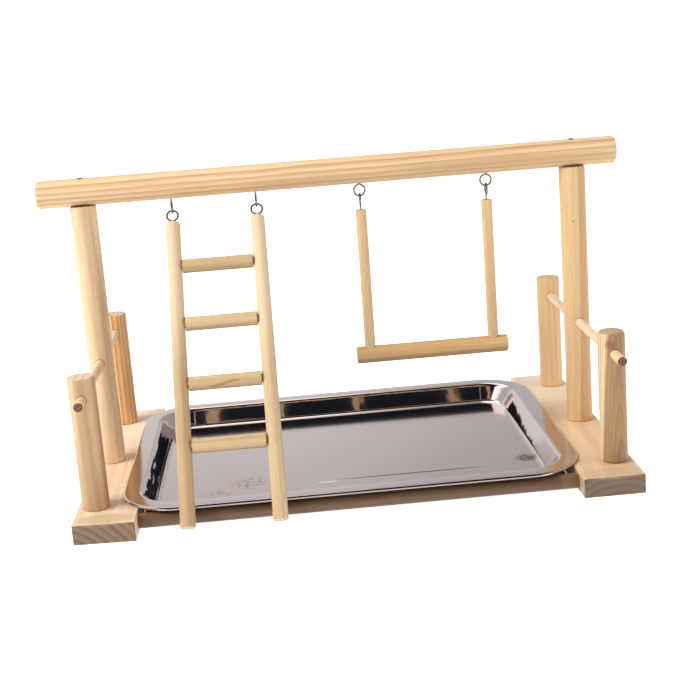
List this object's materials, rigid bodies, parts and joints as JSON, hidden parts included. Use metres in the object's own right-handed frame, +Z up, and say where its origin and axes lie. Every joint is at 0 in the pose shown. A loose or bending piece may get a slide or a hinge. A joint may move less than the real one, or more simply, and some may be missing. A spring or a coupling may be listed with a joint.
{
  "type": "parrot play stand",
  "caption": "Free-standing wooden play stand for a parrot, with a top perch, side perches, a hanging ladder, a swing and a lift-out metal tray.",
  "frame": {"origin": "middle of the whole footprint, on the surface that the stand rests on", "axes": "+X along the top perch towards the swing's side, +Y to the back, away from the ladder's foot, +Z up"},
  "size_m": [0.53, 0.329, 0.2873],
  "materials": {
    "dowel_wood": "sanded, unvarnished pale pine",
    "board_wood": "sanded, unvarnished pale pine plank",
    "tray_steel": "mirror-polished stainless sheet",
    "wire_steel": "bright plated wire, slightly dulled",
    "screw_steel": "zinc-plated"
  },
  "bodies": {
    "stand": {"top_perch": "dowel_wood", "main_post_left": "dowel_wood", "main_post_right": "dowel_wood", "short_post_front_left": "dowel_wood", "short_post_front_right": "dowel_wood", "short_post_rear_left": "dowel_wood", "short_post_rear_right": "dowel_wood", "side_perch_left": "dowel_wood", "side_perch_right": "dowel_wood", "base_board_left": "board_wood", "base_board_right": "board_wood", "front_cross_rail": "dowel_wood", "rear_cross_rail": "dowel_wood", "base_screws_left": "screw_steel", "base_screws_right": "screw_steel", "top_perch_screws": "screw_steel", "ladder_hooks": "wire_steel", "swing_hooks": "wire_steel"},
    "tray": {"tray": "tray_steel"},
    "ladder": {"ladder_rail_left": "dowel_wood", "ladder_rail_right": "dowel_wood", "ladder_rung_1": "dowel_wood", "ladder_rung_2": "dowel_wood", "ladder_rung_3": "dowel_wood", "ladder_rung_4": "dowel_wood", "ladder_eyes": "wire_steel"},
    "swing": {"swing_rod_left": "dowel_wood", "swing_rod_right": "dowel_wood", "swing_perch": "dowel_wood", "swing_eyes": "wire_steel"}
  },
  "joints": [
    {"name": "tray_lift", "type": "slide", "parent": "stand", "child": "tray", "axis": [0, 0.5599, 0.8286], "range_m": [0, 0.075]},
    {"name": "ladder_hinge", "type": "hinge", "parent": "stand", "child": "ladder", "pos_m": [-0.1063, 0.00452, 0.25065], "axis": [1, 0, 0], "range_deg": [-60, 0]},
    {"name": "swing_hinge", "type": "hinge", "parent": "stand", "child": "swing", "pos_m": [0.086, 0.00452, 0.2505], "axis": [1, 0, 0], "range_deg": [-75, 75]}
  ]
}
